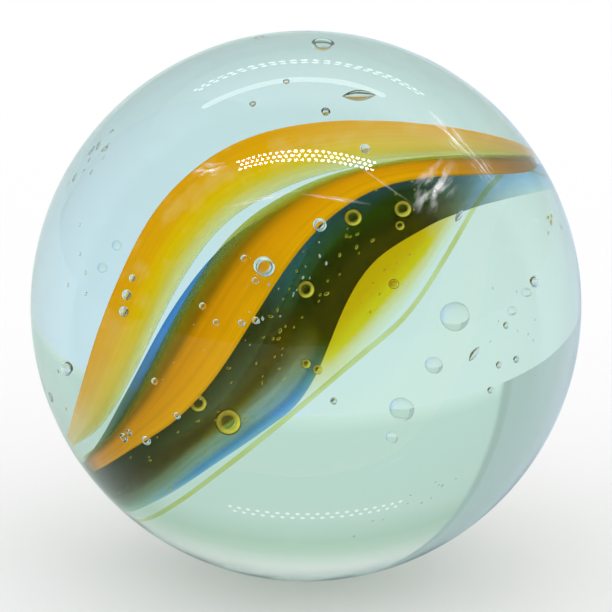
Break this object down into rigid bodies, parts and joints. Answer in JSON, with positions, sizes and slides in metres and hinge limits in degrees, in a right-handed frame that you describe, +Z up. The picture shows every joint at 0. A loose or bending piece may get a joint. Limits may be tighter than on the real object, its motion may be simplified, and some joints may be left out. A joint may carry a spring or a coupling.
{
  "type": "glass marble",
  "caption": "Clear glass playing marble: a pale aqua ball with amber, blue and yellow glass ribbons and a fine thread twisting through it, and air bubbles held in the glass.",
  "frame": {"origin": "centre of the ball", "axes": "+Z up, -Y towards the viewer with the ball's front leaning back by 16 degrees, +X to the right as the picture shows the ribbons"},
  "size_m": [0.016, 0.016, 0.016],
  "materials": {
    "clear_glass": "clear pale aqua glass, fire polished, with bubbles and light scuffs",
    "amber_glass": "amber glass, fading to pale yellow along its inner edge",
    "deep_amber_glass": "deep amber glass with darker streaks along its length",
    "blue_glass": "clear blue glass, deeper towards its middle",
    "yellow_glass": "clear yellow glass, fading to pale green",
    "thread_glass": "fine yellow-green glass thread"
  },
  "bodies": {
    "root": {"clear_glass": "clear_glass", "outer_amber_ribbon": "amber_glass", "inner_amber_ribbon": "deep_amber_glass", "blue_ribbon": "blue_glass", "yellow_ribbon": "yellow_glass", "yellow_thread": "thread_glass"}
  },
  "joints": []
}
